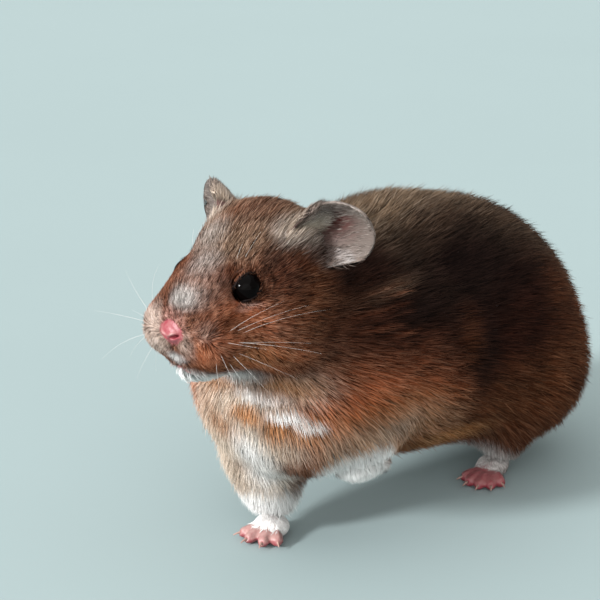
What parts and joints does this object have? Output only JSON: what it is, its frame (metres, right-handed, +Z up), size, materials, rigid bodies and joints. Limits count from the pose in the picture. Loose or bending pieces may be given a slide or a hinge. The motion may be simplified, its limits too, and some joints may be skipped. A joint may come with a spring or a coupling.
{
  "type": "syrian hamster model",
  "caption": "Life-size still model of a Syrian hamster, walking with its head raised and one forepaw lifted, standing on small flat soles.",
  "frame": {"origin": "middle of the bounding box's base, on the floor between the feet", "axes": "+Z up; the animal faces -Y, so +Y runs towards its tail; +X is its left side"},
  "size_m": [0.0584, 0.1346, 0.0841],
  "materials": {
    "fur": "dense agouti fur, matt",
    "fur_pale": "white and cream fur, matt",
    "ear": "thin bare skin with fine down",
    "bare_skin": "pink bare skin, slightly moist",
    "eye": "glossy black",
    "claw": "horn, satin"
  },
  "bodies": {
    "root": {"eye_left": "eye", "ear_left": "ear", "eye_right": "eye", "ear_right": "ear", "nose": "bare_skin", "jaw": "fur_pale", "head": "fur", "foreleg_right": "fur", "claw_forepaw_right_1": "claw", "claw_forepaw_right_2": "claw", "claw_forepaw_right_3": "claw", "claw_forepaw_right_4": "claw", "forepaw_right": "bare_skin", "foreleg_left": "fur", "claw_forepaw_left_1": "claw", "claw_forepaw_left_2": "claw", "claw_forepaw_left_3": "claw", "claw_forepaw_left_4": "claw", "forepaw_left": "bare_skin", "hindleg_left": "fur", "claw_hindpaw_left_1": "claw", "claw_hindpaw_left_2": "claw", "claw_hindpaw_left_3": "claw", "claw_hindpaw_left_4": "claw", "claw_hindpaw_left_5": "claw", "hindpaw_left": "bare_skin", "hindleg_right": "fur", "claw_hindpaw_right_1": "claw", "claw_hindpaw_right_2": "claw", "claw_hindpaw_right_3": "claw", "claw_hindpaw_right_4": "claw", "claw_hindpaw_right_5": "claw", "hindpaw_right": "bare_skin", "tail": "fur", "neck": "fur", "trunk": "fur"}
  },
  "joints": []
}
